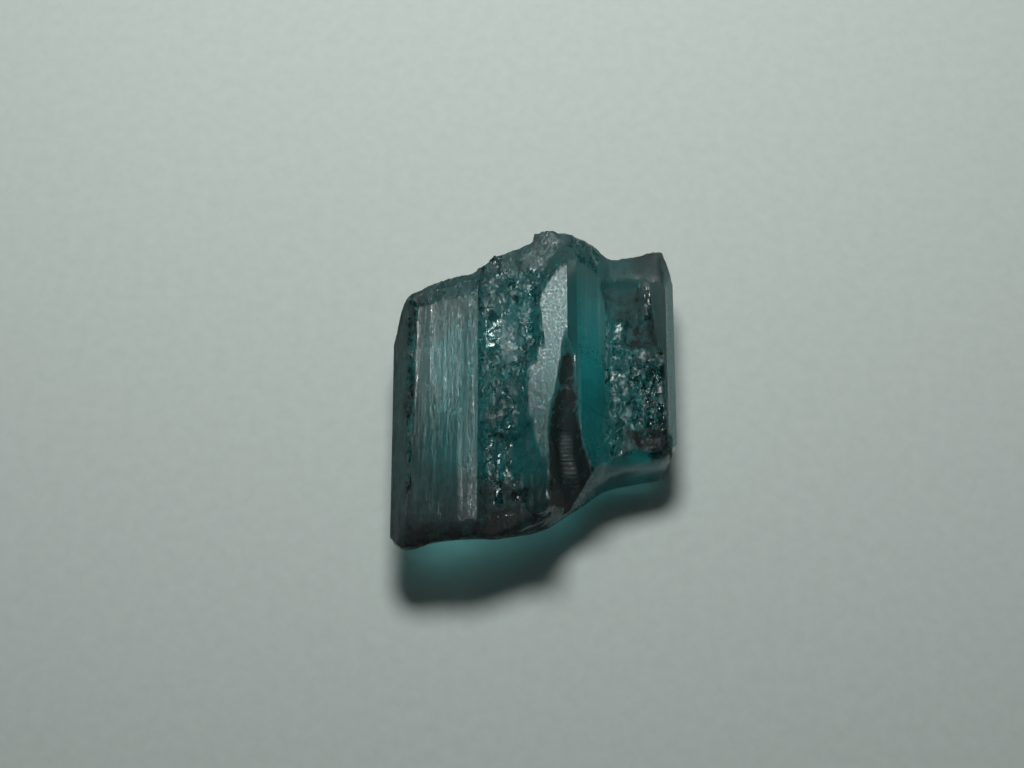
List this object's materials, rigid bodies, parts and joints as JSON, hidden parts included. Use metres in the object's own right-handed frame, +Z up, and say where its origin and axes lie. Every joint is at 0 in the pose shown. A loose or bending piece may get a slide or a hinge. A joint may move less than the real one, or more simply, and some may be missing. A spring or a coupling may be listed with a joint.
{
  "type": "tourmaline crystal",
  "caption": "Broken piece of a see-through blue-green tourmaline prism with striated faces, a bright ridge, a pitted trough and shell-shaped breaks, lying on its flat underside.",
  "frame": {"origin": "middle of the bounding box, on the flat underside", "axes": "+Z up out of the resting face, +Y along the prism's long axis towards the far broken end, +X to the right"},
  "size_m": [0.0142, 0.017, 0.006],
  "materials": {
    "tourmaline": "glassy breaks and frosted striated faces"
  },
  "bodies": {
    "root": {"tourmaline_crystal": "tourmaline"}
  },
  "joints": []
}
